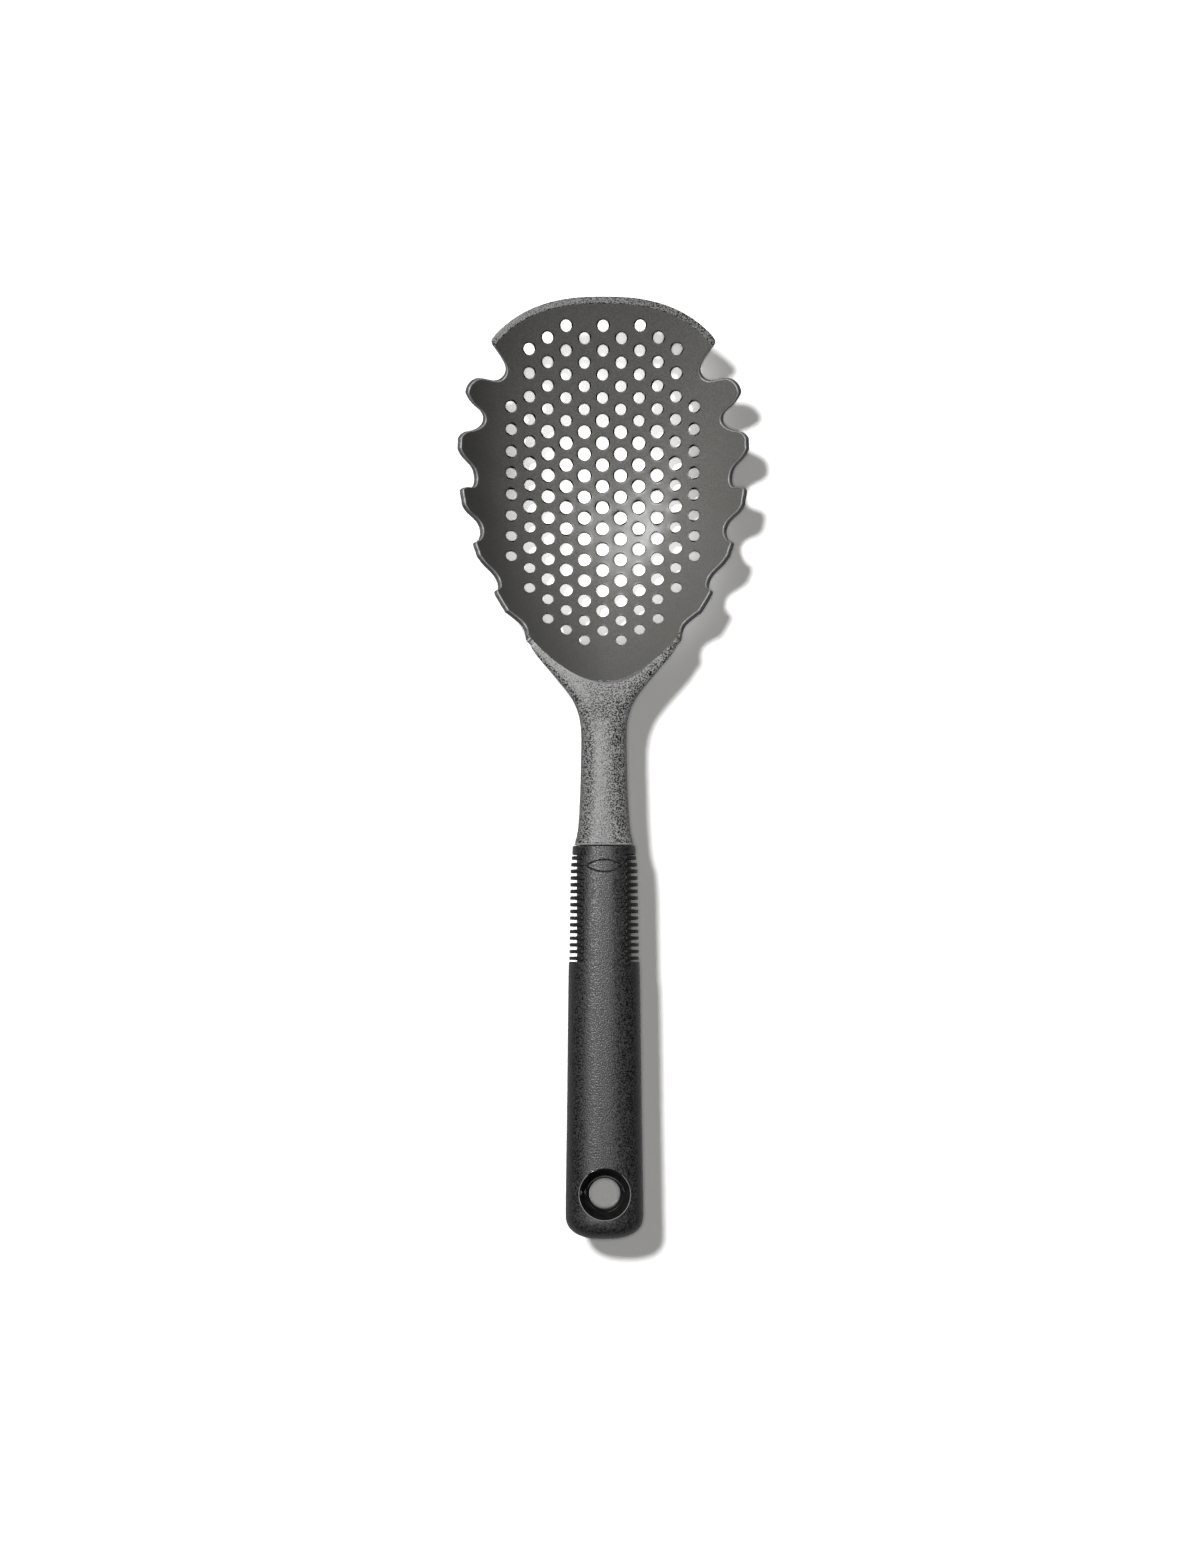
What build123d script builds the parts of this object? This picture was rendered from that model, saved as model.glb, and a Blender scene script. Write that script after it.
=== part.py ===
from build123d import *
import os
from math import hypot, sqrt

# Pasta server: a perforated nylon scoop with a toothed rim on a finned soft grip.
# Millimetres. +Y runs from the grip to the lip, +Z is up out of the bowl.
# Everything is drawn about the middle of the bowl's widest section, with the bowl's
# underside at z = 0, and the finished set is then centred over its own footprint.

# Bowl: the plan of the rim's inner edge
rim_half_width = 52.95
rim_front_reach = 59.4
rim_rear_reach = 82.7
front_rim_power = 2.5
rear_rim_power = 1.7

# Bowl: depth, wall and the height of the rim
bowl_wall = 2.0
low_rim_height = 37.0
lip_rise = 7.5
low_rim_back = 25.0
deepest_back = 20.5
front_slope_power = 2.2
side_slope_power = 3.0
rear_slope_power = 2.85
straight_beyond_share = 1.1

# Bowl: how finely its curved skins are sampled
skin_margin = 9.0
skin_columns = 25
skin_rows = 33
rim_stations = 7
hair = 0.05  # small step, for feeling slopes and picking edges
bisection_steps = 48
bisection_reach = 4.0

# Drain holes: columns run along Y, and a column's holes are two half pitches apart
hole_column_pitch = 7.0
hole_row_offset = 4.0
small_hole_diameter = 4.2
large_hole_diameter = 4.9
middle_half_step = 14
hole_steps_by_column = {
    0: (0, 28),
    1: (1, 29),
    2: (0, 28),
    3: (1, 27),
    4: (2, 24),
    5: (7, 21),
}
large_hole_steps = {
    0: range(8, 27, 2),
    1: range(9, 26, 2),
    2: range(10, 25, 2),
    3: range(9, 24, 2),
    4: range(12, 21, 4),
    5: range(0),
}

# Teeth: each notch from tooth tip to tooth tip, as shares of the rim's half width
# across and of its front reach along
notch_outline_shares = [
    [(0.762, 0.825), (0.784, 0.795), (0.787, 0.768), (0.764, 0.736), (0.717, 0.684),
     (0.690, 0.630), (0.716, 0.570), (0.779, 0.541), (0.854, 0.541), (0.921, 0.529),
     (0.968, 0.481), (0.975, 0.454)],
    [(0.975, 0.454), (0.936, 0.399), (0.867, 0.352), (0.852, 0.310), (0.869, 0.268),
     (0.912, 0.231), (0.966, 0.206), (1.011, 0.185), (1.042, 0.126)],
    [(1.042, 0.126), (1.000, 0.051), (0.937, -0.005), (0.917, -0.060), (0.921, -0.118),
     (0.938, -0.145), (0.977, -0.156), (1.013, -0.164), (1.028, -0.189)],
    [(1.028, -0.189), (1.011, -0.232), (0.968, -0.301), (0.899, -0.357), (0.874, -0.406),
     (0.877, -0.461), (0.902, -0.500), (0.925, -0.510), (0.936, -0.527)],
    [(0.936, -0.527), (0.899, -0.577), (0.846, -0.640), (0.777, -0.702), (0.744, -0.771),
     (0.751, -0.806), (0.771, -0.817), (0.784, -0.828)],
    [(0.784, -0.828), (0.719, -0.919), (0.675, -0.951), (0.623, -0.987), (0.567, -1.040),
     (0.550, -1.086), (0.542, -1.118), (0.518, -1.155)],
]
notch_clear = 12.0

# Neck and tang
neck_front_back = 64.0
joint_back = 143.6
neck_half_width = 8.45
neck_thickness = 12.0
neck_rise = 7.5
neck_corner_share = 0.42
# Shares: way along the neck, half width over the neck's own, thickness, rise of its top
neck_station_shares = [
    (0.000, 3.42, 0.22, 0.00),
    (0.084, 3.10, 0.34, 0.12),
    (0.183, 2.34, 0.52, 0.30),
    (0.259, 1.75, 0.68, 0.44),
    (0.319, 1.36, 0.80, 0.56),
    (0.412, 1.06, 0.92, 0.72),
    (0.512, 1.00, 0.99, 0.84),
    (0.695, 1.03, 1.04, 0.94),
    (0.880, 1.10, 1.12, 0.99),
    (0.974, 1.26, 1.24, 1.00),
    (1.000, 1.30, 1.28, 1.00),
]
tang_half_width = 5.5
tang_thickness = 6.5
tang_length = 48.0
tang_key_diameter = 5.0
tang_key_count = 2
tang_corner = 1.0

# Grip
grip_length = 146.8
grip_front_half_width = 11.9
grip_middle_half_width = 13.7
grip_end_half_width = 14.6
grip_top = 48.0
grip_bottom = 28.0
grip_end_bulge = 1.9
grip_corner = 8.8
grip_edge_radius = 6.4
grip_skin = 3.9
core_front_wall = 2.4

# Fins: two soft pads let into the sides of the grip
fin_count = 16
fin_pitch = 2.5
fin_thickness = 1.15
fin_start_back = 4.8
strip_half_width = 8.0
fin_floor_half_width = 10.2
fin_floor_radius = 5.0
fin_backing = 0.8
pad_end_gap = 1.6

# Hang hole and its liner
hang_hole_inset = 17.0
hang_hole_diameter = 11.8
liner_outer_diameter = 19.0
liner_edge = 0.35
liner_step_diameter = 14.1
liner_step_depth = 3.2
liner_land_depth = 6.0

# Bare oval on the grip's top, near the neck
oval_back = 8.6
oval_length = 13.4
oval_width = 4.3
oval_depth = 0.35

overrun = 5.0
tall = 120.0


def rim_line(y):
    """Height of the rim's top: lowest behind the widest section, rising to the lip."""
    share = (y + low_rim_back) / (rim_front_reach + low_rim_back)
    return low_rim_height + lip_rise * share**2


def rim_gauge(x, y):
    """Equals 1 on the rim's inner edge, less inside it: two joined superellipses."""
    reach = rim_front_reach if y > 0 else rim_rear_reach
    power = front_rim_power if y > 0 else rear_rim_power
    return (abs(x) / rim_half_width) ** power + (abs(y) / reach) ** power


def rim_share(x, y):
    """How far the point lies from the deepest point towards the rim, 1 at the rim."""
    low, high = 0.0, bisection_reach
    for _ in range(bisection_steps):
        middle = (low + high) / 2
        dy = (y + deepest_back) / middle
        if rim_gauge(x / middle, dy - deepest_back) > 1:
            low = middle
        else:
            high = middle
    return high


def bowl_inside(x, y):
    """Height of the bowl's inner skin: a power of the share of the way to the rim."""
    away = hypot(x, y + deepest_back)
    if away < hair:
        return bowl_wall
    share = rim_share(x, y)
    forward = (y + deepest_back) / away
    end_power = front_slope_power if forward > 0 else rear_slope_power
    power = side_slope_power + (end_power - side_slope_power) * forward**2
    depth = rim_line((y + deepest_back) / share - deepest_back) - bowl_wall
    knee = min(share, straight_beyond_share)
    rise = knee**power + power * knee ** (power - 1) * (share - knee)
    return bowl_wall + depth * rise


def bowl_outside(x, y):
    """The outer skin lies one wall away from the inner one, square to its slope."""
    across = bowl_inside(x + hair, y) - bowl_inside(x - hair, y)
    along = bowl_inside(x, y + hair) - bowl_inside(x, y - hair)
    slope = hypot(across, along) / (2 * hair)
    return bowl_inside(x, y) - bowl_wall * sqrt(1 + slope**2)


def block_above(height):
    """Everything over a skin, as a block with that skin as its curved floor."""
    half = rim_half_width + skin_margin
    front = rim_front_reach + skin_margin
    back = rim_rear_reach + skin_margin
    rows = []
    for i in range(skin_columns):
        x = half * (2 * i / (skin_columns - 1) - 1)
        row = []
        for j in range(skin_rows):
            y = front - (front + back) * j / (skin_rows - 1)
            row.append(Vector(x, y, height(x, y)))
        rows.append(row)
    skin = Face.make_surface_from_array_of_points(rows)
    return extrude(skin, amount=tall, dir=(0, 0, 1))


def side_prism(outline_face, half_width):
    """A profile drawn in the YZ plane, carried half_width to each side."""
    return extrude(Plane.YZ * outline_face, amount=half_width, both=True)


def below_rim():
    """The space under the rim's own top surface."""
    front = rim_front_reach + skin_margin + overrun
    back = rim_rear_reach + skin_margin + overrun
    stations = [front - (front + back) * i / (rim_stations - 1) for i in range(rim_stations)]
    points = [(y, rim_line(y)) for y in stations]
    top = Spline(*points)
    rest = Polyline(points[-1], (-back, -overrun), (front, -overrun), points[0])
    return side_prism(make_face([top, rest]), rim_half_width + skin_margin + overrun)


def notch_cutters():
    cutters = []
    for shares in notch_outline_shares:
        points = [(x * rim_half_width, y * rim_front_reach) for x, y in shares]
        far = max(x for x, y in points) + notch_clear
        edge = Spline(*points)
        back = Polyline(points[-1], (far, points[-1][1]), (far, points[0][1]), points[0])
        cutter = extrude(Pos(0, 0, -overrun) * make_face([edge, back]), amount=tall)
        cutters.append(cutter)
        cutters.append(mirror(cutter, about=Plane.YZ))
    return cutters


def drain_holes():
    """Hexagonal field: each column is half a pitch off its neighbours."""
    half_pitch = hole_column_pitch / sqrt(3)
    small, large = [], []
    for column, (first, last) in hole_steps_by_column.items():
        for step in range(first, last + 1, 2):
            y = (middle_half_step - step) * half_pitch - hole_row_offset
            sides = (1, -1) if column else (1,)
            for side in sides:
                place = (side * column * hole_column_pitch, y)
                (large if step in large_hole_steps[column] else small).append(place)
    print("drain holes:", len(small), "small,", len(large), "large")
    field = [Pos(x, y) * Circle(small_hole_diameter / 2) for x, y in small]
    field += [Pos(x, y) * Circle(large_hole_diameter / 2) for x, y in large]
    return [extrude(Pos(0, 0, -overrun) * hole, amount=tall) for hole in field]


def neck_top(share):
    """Height of the neck's top at a share of the way along it."""
    return rim_line(-neck_front_back) + neck_rise * share


def neck_body():
    sections = []
    length = joint_back - neck_front_back
    for along, width, thick, rise in neck_station_shares:
        half = neck_half_width * width
        deep = neck_thickness * thick
        radius = min(neck_corner_share * deep, neck_corner_share * half)
        middle = neck_top(rise) - deep / 2
        plane = Plane(origin=(0, -neck_front_back - along * length, middle), x_dir=(1, 0, 0),
                      z_dir=(0, -1, 0))
        sections.append(plane * RectangleRounded(2 * half, deep, radius))
    return loft(sections)


def tang():
    """Flat bar inside the grip, with holes that the core is moulded through."""
    middle = (grip_top + grip_bottom) / 2
    bar = Box(2 * tang_half_width, tang_length + overrun, tang_thickness)
    bar = fillet(bar.edges().filter_by(Axis.Y), tang_corner)
    bar = Pos(0, -joint_back - (tang_length - overrun) / 2, middle) * bar
    for i in range(tang_key_count):
        back = joint_back + tang_length * (i + 1) / (tang_key_count + 1)
        bar -= Pos(0, -back, middle) * Cylinder(tang_key_diameter / 2, tang_thickness * 2)
    return bar


def scoop_head():
    shell = block_above(bowl_outside) & below_rim()
    head = shell + neck_body()
    head -= block_above(bowl_inside)
    head -= notch_cutters()
    head -= drain_holes()
    head = head.solids().sort_by(SortBy.VOLUME)[-1]
    return head + tang()


def grip_body(inset=0.0, front=0.0):
    """The grip's outside, or the same form drawn in by an inset on every side."""
    y0 = -joint_back - front
    y1 = -joint_back - grip_length + inset
    ym = (y0 + y1) / 2
    w0 = grip_front_half_width - inset
    wm = grip_middle_half_width - inset
    w1 = grip_end_half_width - inset
    right = ThreePointArc((w0, y0), (wm, ym), (w1, y1 + grip_end_bulge))
    end = ThreePointArc((w1, y1 + grip_end_bulge), (0, y1), (-w1, y1 + grip_end_bulge))
    left = ThreePointArc((-w1, y1 + grip_end_bulge), (-wm, ym), (-w0, y0))
    plan = make_face([right, end, left, Line((-w0, y0), (w0, y0))])
    plan = fillet(plan.vertices().sort_by(Axis.Y)[:2], grip_corner - inset)
    height = grip_top - grip_bottom - 2 * inset
    body = extrude(Pos(0, 0, grip_bottom + inset) * plan, amount=height)
    caps = body.faces().sort_by(Axis.Z)
    edges = [e for cap in (caps[0], caps[-1]) for e in cap.edges()
             if e.center().Y < y0 - hair]
    return fillet(edges, grip_edge_radius - inset)


def handle_core():
    core = grip_body(grip_skin, core_front_wall)
    return core - tang() - liner_space()


def liner_space():
    place = Pos(0, -joint_back - grip_length + hang_hole_inset, (grip_top + grip_bottom) / 2)
    return place * Cylinder(liner_outer_diameter / 2, tall)


def hang_liner():
    """Spool-shaped ring: a wide mouth at each face stepping down to the hole."""
    rim = liner_outer_diameter / 2
    step = liner_step_diameter / 2
    hole = hang_hole_diameter / 2
    points = [
        (rim, grip_bottom),
        (rim, grip_top),
        (rim - liner_edge, grip_top),
        (step, grip_top - liner_step_depth),
        (hole, grip_top - liner_land_depth),
        (hole, grip_bottom + liner_land_depth),
        (step, grip_bottom + liner_step_depth),
        (rim - liner_edge, grip_bottom),
    ]
    half_section = make_face(Polyline(*points, close=True))
    ring = revolve(Plane.XZ * half_section, Axis.Z)
    return Pos(0, -joint_back - grip_length + hang_hole_inset, 0) * ring


def side_space():
    """The two side zones that hold the fins, outside the flat strip on top."""
    y0 = -joint_back - fin_start_back + pad_end_gap
    y1 = y0 - (fin_count - 1) * fin_pitch - 2 * pad_end_gap
    width = tall / 2 - strip_half_width
    box = Box(width, y0 - y1, tall)
    x = strip_half_width + width / 2
    return Pos(x, (y0 + y1) / 2, 0) * box + Pos(-x, (y0 + y1) / 2, 0) * box


def fin_floor(half_width):
    """Rounded bar that the fins stand on."""
    height = grip_top - grip_bottom
    bar = Box(2 * half_width, grip_length, height)
    bar = fillet(bar.edges().filter_by(Axis.Y), fin_floor_radius)
    return Pos(0, -joint_back - grip_length / 2, (grip_top + grip_bottom) / 2) * bar


def fin_slabs():
    slabs = []
    for i in range(fin_count):
        y = -joint_back - fin_start_back - i * fin_pitch
        slabs.append(Pos(0, y, 0) * Box(tall, fin_thickness, tall))
    return slabs


def fin_pads(outside):
    """Left and right pads: a thin backing with upstanding fins, flush with the grip."""
    pocket = (outside & side_space()) - fin_floor(fin_floor_half_width - fin_backing)
    backing = pocket & fin_floor(fin_floor_half_width)
    fins = [pocket & slab for slab in fin_slabs()]
    both = backing + fins
    solids = both.solids().sort_by(Axis.X)
    return pocket, solids[0], solids[-1]


def bare_oval():
    """A lens: where two circles overlap, sunk a little into the grip's top."""
    reach = oval_length / 2
    radius = (reach**2 + (oval_width / 2) ** 2) / oval_width
    shift = radius - oval_width / 2
    lens = Pos(0, shift) * Circle(radius) & Pos(0, -shift) * Circle(radius)
    y = -joint_back - oval_back
    return extrude(Pos(0, y, grip_top - oval_depth) * lens, amount=tall)


def grip_sleeve(outside, pocket):
    sleeve = outside - grip_body(grip_skin, core_front_wall) - liner_space() - tang()
    return sleeve - pocket - bare_oval()


def main():
    outside = grip_body()
    pocket, left_pad, right_pad = fin_pads(outside)
    parts = {
        "scoop_head": scoop_head(),
        "handle_core": handle_core(),
        "grip_sleeve": grip_sleeve(outside, pocket),
        "left_fin_pad": left_pad,
        "right_fin_pad": right_pad,
        "hang_hole_liner": hang_liner(),
    }
    box = Compound(children=[p.solids()[0] for p in parts.values()]).bounding_box()
    shift = Location((-box.center().X, -box.center().Y, -box.min.Z))
    os.makedirs("parts", exist_ok=True)
    for name, part in parts.items():
        export_step(part.moved(shift), "parts/" + name + ".step")
        print(name, len(part.solids()), round(part.volume))


main()
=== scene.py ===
from math import pi, radians, sqrt
import bpy
import bmesh
import numpy as np
from mathutils import Matrix, Vector
from mathutils.geometry import delaunay_2d_cdt


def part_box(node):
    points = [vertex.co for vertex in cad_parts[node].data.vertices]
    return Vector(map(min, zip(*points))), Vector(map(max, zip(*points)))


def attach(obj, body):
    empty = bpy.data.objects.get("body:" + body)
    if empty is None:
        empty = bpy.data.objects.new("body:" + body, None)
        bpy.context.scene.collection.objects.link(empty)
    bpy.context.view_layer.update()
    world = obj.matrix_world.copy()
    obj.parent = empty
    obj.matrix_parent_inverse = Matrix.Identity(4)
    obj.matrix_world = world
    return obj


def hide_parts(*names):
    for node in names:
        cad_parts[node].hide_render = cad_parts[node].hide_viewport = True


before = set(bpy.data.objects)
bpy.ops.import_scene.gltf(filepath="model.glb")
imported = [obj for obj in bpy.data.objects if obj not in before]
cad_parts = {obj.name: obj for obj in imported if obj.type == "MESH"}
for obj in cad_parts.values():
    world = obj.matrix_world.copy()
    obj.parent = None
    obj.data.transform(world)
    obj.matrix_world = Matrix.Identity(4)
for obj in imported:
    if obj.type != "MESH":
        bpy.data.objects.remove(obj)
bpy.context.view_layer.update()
print("frame loaded")

mm = 0.001
# Everything is worked out in millimetres about the middle of the bowl's widest section,
# with x to the right, y towards the lip and z up, then moved onto the frame's own place.
joint = 143.6                      # the grip's front end, behind the datum
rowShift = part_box("grip_sleeve")[1][1] / mm + joint


# millimetres about the bowl's datum to metres in the frame: a shift along y, then a scale
def toFrame(points):
    moved = np.array(points, dtype=float).reshape(-1, 3)
    moved[:, 1] += rowShift
    return moved * mm


# runs smoothly from 0 at low to 1 at high: 3t2 - 2t3
def ease(low, high, value):
    t = np.clip((value - low) / (high - low), 0, 1)
    return t * t * (3 - 2 * t)


# the smaller of two heights, with a rounded meeting: the lower one less a little where they are close
def softMin(a, b, reach):
    near = np.clip(1 - np.abs(a - b) / reach, 0, 1)
    return np.minimum(a, b) - near * near * reach / 4


# a smooth line through knots (position, value) that never overshoots them: cubic pieces, limited slopes
def through(knots, at):
    k = np.array(knots, dtype=float)
    x, v = k[:, 0], k[:, 1]
    h, at = np.diff(x), np.asarray(at, dtype=float)
    s = np.diff(v) / h
    inner = np.where(s[:-1] * s[1:] > 0, 2 * s[:-1] * s[1:] / (s[:-1] + s[1:] + 1e-12), 0)
    m = np.concatenate([s[:1], inner, s[-1:]])
    i = np.clip(np.searchsorted(x, at) - 1, 0, len(x) - 2)
    t = np.clip((at - x[i]) / h[i], 0, 1)
    return ((1 + 2 * t) * (1 - t) ** 2 * v[i] + t * (1 - t) ** 2 * h[i] * m[i]
            + t * t * (3 - 2 * t) * v[i + 1] + t * t * (t - 1) * h[i] * m[i + 1])


# a bent-strip curve through a few points: cubic pieces by chord length, free at both ends
def curveThrough(points, step):
    p = np.array(points, dtype=float)
    c = np.concatenate([[0], np.cumsum(np.linalg.norm(np.diff(p, axis=0), axis=1))])
    h, n = np.diff(c)[:, None], len(p)
    a, rhs = np.eye(n), np.zeros((n, 2))
    i = np.arange(1, n - 1)
    a[i, i], a[i, i - 1], a[i, i + 1] = 2 * (h[:-1] + h[1:])[:, 0], h[:-1, 0], h[1:, 0]
    rhs[i] = 6 * (np.diff(p, axis=0)[1:] / h[1:] - np.diff(p, axis=0)[:-1] / h[:-1])
    bend = np.linalg.solve(a, rhs)
    at = np.linspace(0, c[-1], int(c[-1] / step) + 2)
    j = np.clip(np.searchsorted(c, at) - 1, 0, n - 2)
    u, v = (c[j + 1] - at)[:, None], (at - c[j])[:, None]
    return ((bend[j] * u ** 3 + bend[j + 1] * v ** 3) / (6 * h[j])
            + (p[j] / h[j] - bend[j] * h[j] / 6) * u + (p[j + 1] / h[j] - bend[j + 1] * h[j] / 6) * v)


# a closed loop walked again in equal steps, starting from its first point
def evenly(loop, step):
    closed = np.vstack([loop, loop[:1]])
    c = np.concatenate([[0], np.cumsum(np.linalg.norm(np.diff(closed, axis=0), axis=1))])
    at = np.linspace(0, c[-1], int(round(c[-1] / step)), endpoint=False)
    return np.stack([np.interp(at, c, closed[:, i]) for i in range(closed.shape[1])], axis=1)


# each vector over its own length
def unit(vectors):
    return vectors / np.maximum(np.linalg.norm(vectors, axis=-1, keepdims=True), 1e-9)


# four-sided faces over a grid of points stored row by row
def gridFaces(rows, columns, wrapColumns=False, start=0):
    r = np.arange(rows - 1)[:, None]
    c = np.arange(columns if wrapColumns else columns - 1)[None, :]
    d = (c + 1) % columns
    near, far = r * columns, (r + 1) * columns
    quads = np.stack([near + c, near + d, far + d, far + c], axis=-1)
    return (quads.reshape(-1, 4) + start).tolist()


# a mesh object in the frame's place: doubles merged, faces turned outwards, smooth shaded
def makePiece(name, points, faces, materials, slots=None, weld=0.004):
    mesh = bpy.data.meshes.new(name)
    mesh.from_pydata(toFrame(points).tolist(), [], faces)
    for material in materials:
        mesh.materials.append(material)
    if slots is not None:
        mesh.polygons.foreach_set("material_index", np.array(slots, dtype=np.int32))
    work = bmesh.new()
    work.from_mesh(mesh)
    bmesh.ops.remove_doubles(work, verts=work.verts, dist=weld * mm)
    bmesh.ops.dissolve_degenerate(work, edges=work.edges, dist=weld * mm * 0.2)
    bmesh.ops.recalc_face_normals(work, faces=work.faces)
    work.to_mesh(mesh)
    work.free()
    mesh.polygons.foreach_set("use_smooth", np.ones(len(mesh.polygons), dtype=bool))
    piece = bpy.data.objects.new(name, mesh)
    bpy.context.scene.collection.objects.link(piece)
    return piece


# the bowl's curved skins
bowl = {
    "halfWidth": 52.95, "frontReach": 59.4, "rearReach": 82.7, "frontPower": 2.5, "rearPower": 1.7,
    "wall": 2.0, "lowRim": 37.0, "lipRise": 7.5, "lowRimBack": 25.0, "deepestBack": 20.5,
    "frontSlope": 2.2, "sideSlope": 3.0, "rearSlope": 2.85, "straightBeyond": 1.1,
    "edgeRound": 0.55, "lipRound": 0.28, "neckEdgeRound": 0.12, "holeRound": 0.46, "rearBlunt": 3.5,
    "meshSize": 1.0, "outlineStep": 0.42, "cornerSoftness": 0.2, "holeSides": 26,
    "gridHalf": 56, "gridRear": 86, "gridFront": 64, "slideReach": 4.5, "leanInset": 0.8,
}


# rim height: lowest a little behind the widest section and rising as a square towards the lip
def rimLine(y):
    share = (y + bowl["lowRimBack"]) / (bowl["frontReach"] + bowl["lowRimBack"])
    return bowl["lowRim"] + bowl["lipRise"] * share ** 2


# 1 on the rim's inner edge and less inside it: a front and a rear superellipse that share a width
def rimGauge(x, y):
    reach = np.where(y > 0, bowl["frontReach"], bowl["rearReach"])
    power = np.where(y > 0, bowl["frontPower"], bowl["rearPower"])
    blunt = bowl["rearBlunt"] * ease(0.2, 0.9, -y / bowl["rearReach"])
    return (np.hypot(x, blunt) / bowl["halfWidth"]) ** power + (np.abs(y) / reach) ** power


# share of the way from the deepest point to the rim, found by halving a bracket
def rimShare(x, y):
    low, high = np.full(np.shape(x), 1e-4), np.full(np.shape(x), 4.0)
    for _ in range(34):
        middle = (low + high) / 2
        outside = rimGauge(x / middle, (y + bowl["deepestBack"]) / middle - bowl["deepestBack"]) > 1
        low, high = np.where(outside, middle, low), np.where(outside, high, middle)
    return high


# inner skin: a power of the share of the way to the rim, which runs on straight past the rim
def bowlInside(x, y):
    x, y = np.asarray(x, dtype=float), np.asarray(y, dtype=float)
    away = np.hypot(x, y + bowl["deepestBack"])
    share = rimShare(x, y)
    forward = (y + bowl["deepestBack"]) / np.maximum(away, 1e-6)
    endPower = np.where(forward > 0, bowl["frontSlope"], bowl["rearSlope"])
    power = bowl["sideSlope"] + (endPower - bowl["sideSlope"]) * forward ** 2
    depth = rimLine((y + bowl["deepestBack"]) / share - bowl["deepestBack"]) - bowl["wall"]
    knee = np.minimum(share, bowl["straightBeyond"])
    rise = knee ** power + power * knee ** (power - 1) * (share - knee)
    return np.where(away < 0.05, bowl["wall"], bowl["wall"] + depth * rise)


# the inner skin's rise along x and along y, felt with a small step each way
def bowlSlope(x, y, probe=0.05):
    return np.stack([bowlInside(x + probe, y) - bowlInside(x - probe, y),
                     bowlInside(x, y + probe) - bowlInside(x, y - probe)], axis=-1) / (2 * probe)


# outer skin: one wall from the inner one, square to its slope
def bowlOutside(x, y):
    return bowlInside(x, y) - bowl["wall"] * np.sqrt(1 + np.sum(bowlSlope(x, y) ** 2, axis=-1))


# the toothed outline
teeth = {   # each notch from tooth tip to tooth tip: shares of the rim's half width and front reach
    "notches": [
        [(0.762, 0.825), (0.784, 0.795), (0.787, 0.768), (0.764, 0.736), (0.717, 0.684), (0.690, 0.630),
         (0.716, 0.570), (0.779, 0.541), (0.854, 0.541), (0.921, 0.529), (0.968, 0.481), (0.975, 0.454)],
        [(0.975, 0.454), (0.936, 0.399), (0.867, 0.352), (0.852, 0.310), (0.869, 0.268),
         (0.912, 0.231), (0.966, 0.206), (1.011, 0.185), (1.042, 0.126)],
        [(1.042, 0.126), (1.000, 0.051), (0.937, -0.005), (0.917, -0.060), (0.921, -0.118),
         (0.938, -0.145), (0.977, -0.156), (1.013, -0.164), (1.028, -0.189)],
        [(1.028, -0.189), (1.011, -0.232), (0.968, -0.301), (0.899, -0.357), (0.874, -0.406),
         (0.877, -0.461), (0.902, -0.500), (0.925, -0.510), (0.936, -0.527)],
        [(0.936, -0.527), (0.899, -0.577), (0.846, -0.640), (0.777, -0.702), (0.744, -0.771),
         (0.751, -0.806), (0.771, -0.817), (0.784, -0.828)],
        [(0.784, -0.828), (0.719, -0.919), (0.675, -0.951), (0.623, -0.987), (0.567, -1.040),
         (0.550, -1.086), (0.542, -1.118), (0.518, -1.155)],
    ],
    "lipFrom": 40.0, "lipTo": 48.0, "neckFrom": 64.0, "neckTo": 68.0,
    "drawnFrom": (-17.0, -186.0), "drawnHeight": 1450.0, "fuller": 0.6, "fullerBelow": 1.2,
}


# how far the outer skin stands above the rim line: below zero inside the bowl's outline
def aboveRim(x, y):
    return bowlOutside(x, y) - rimLine(y)


# where the outer skin meets the rim line, along rays from the deepest point
def outerRim(angles):
    low, high = np.full(len(angles), 20.0), np.full(len(angles), 110.0)
    for _ in range(26):
        middle = (low + high) / 2
        inside = aboveRim(middle * np.cos(angles), middle * np.sin(angles) - bowl["deepestBack"]) < 0
        low, high = np.where(inside, middle, low), np.where(inside, high, middle)
    return np.stack([high * np.cos(angles), high * np.sin(angles) - bowl["deepestBack"]], axis=1)


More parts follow.
